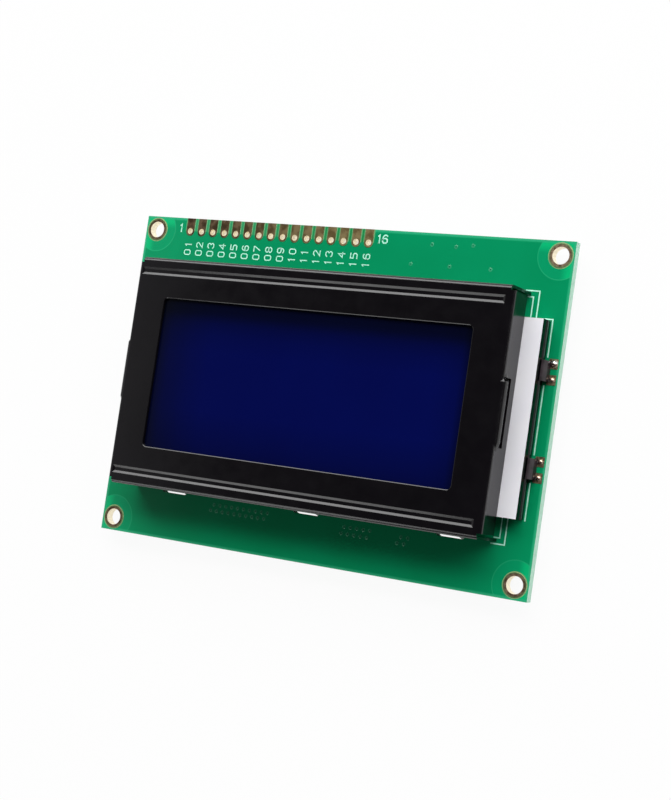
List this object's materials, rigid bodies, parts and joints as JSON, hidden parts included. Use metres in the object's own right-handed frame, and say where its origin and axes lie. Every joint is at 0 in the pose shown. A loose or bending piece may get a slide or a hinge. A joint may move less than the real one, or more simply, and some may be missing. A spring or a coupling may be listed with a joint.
{
  "type": "character lcd module",
  "caption": "Flat character LCD module: green circuit board with a header row, a black pressed metal bezel round a blue display window, and a white edge-lit backlight at one end.",
  "frame": {"origin": "middle of the four mounting holes, on the back face of the circuit board", "axes": "+X along the board towards the backlight's tail, +Y towards the header row, +Z out of the display"},
  "size_m": [0.087, 0.06, 0.0122],
  "materials": {
    "pcb": "glossy green solder mask over glass-fibre laminate",
    "bezel": "satin black paint on pressed steel",
    "polarizer": "smooth deep blue film",
    "glass": "clear",
    "crystal": "blue liquid crystal film",
    "seal": "cured epoxy",
    "zebra": "striped conductive elastomer",
    "housing": "white moulded",
    "light_guide": "clear acrylic",
    "film": "white film",
    "strip_board": "glossy dark solder mask",
    "led": "phosphor and white resin",
    "tape": "black tape",
    "lead": "tinned",
    "solder": "solder",
    "pad": "bare plated copper",
    "print": "white printed ink",
    "epoxy": "black potting epoxy",
    "resistor": "black glazed",
    "capacitor": "tan ceramic",
    "terminal": "tinned"
  },
  "bodies": {
    "root": {"pcb": "pcb", "bezel": "bezel", "front_polarizer": "polarizer", "front_glass": "glass", "cell_seal": "seal", "crystal_layer": "crystal", "rear_glass": "glass", "rear_polarizer": "polarizer", "zebra_strip_top": "zebra", "zebra_strip_bottom": "zebra", "backlight_housing": "housing", "light_guide": "light_guide", "diffuser_film": "film", "reflector_film": "film", "led_strip_board": "strip_board", "led_chips": "led", "backlight_tape": "tape", "lead_covers": "tape", "backlight_leads": "lead", "solder_joints": "solder", "mounting_pads": "pad", "header_pads": "pad", "backlight_pads": "pad", "front_outline_print": "print", "back_outline_print": "print", "controller_cap": "epoxy", "driver_cap_left": "epoxy", "driver_cap_right": "epoxy", "resistor_bodies": "resistor", "capacitor_bodies": "capacitor", "chip_terminals": "terminal"}
  },
  "joints": []
}
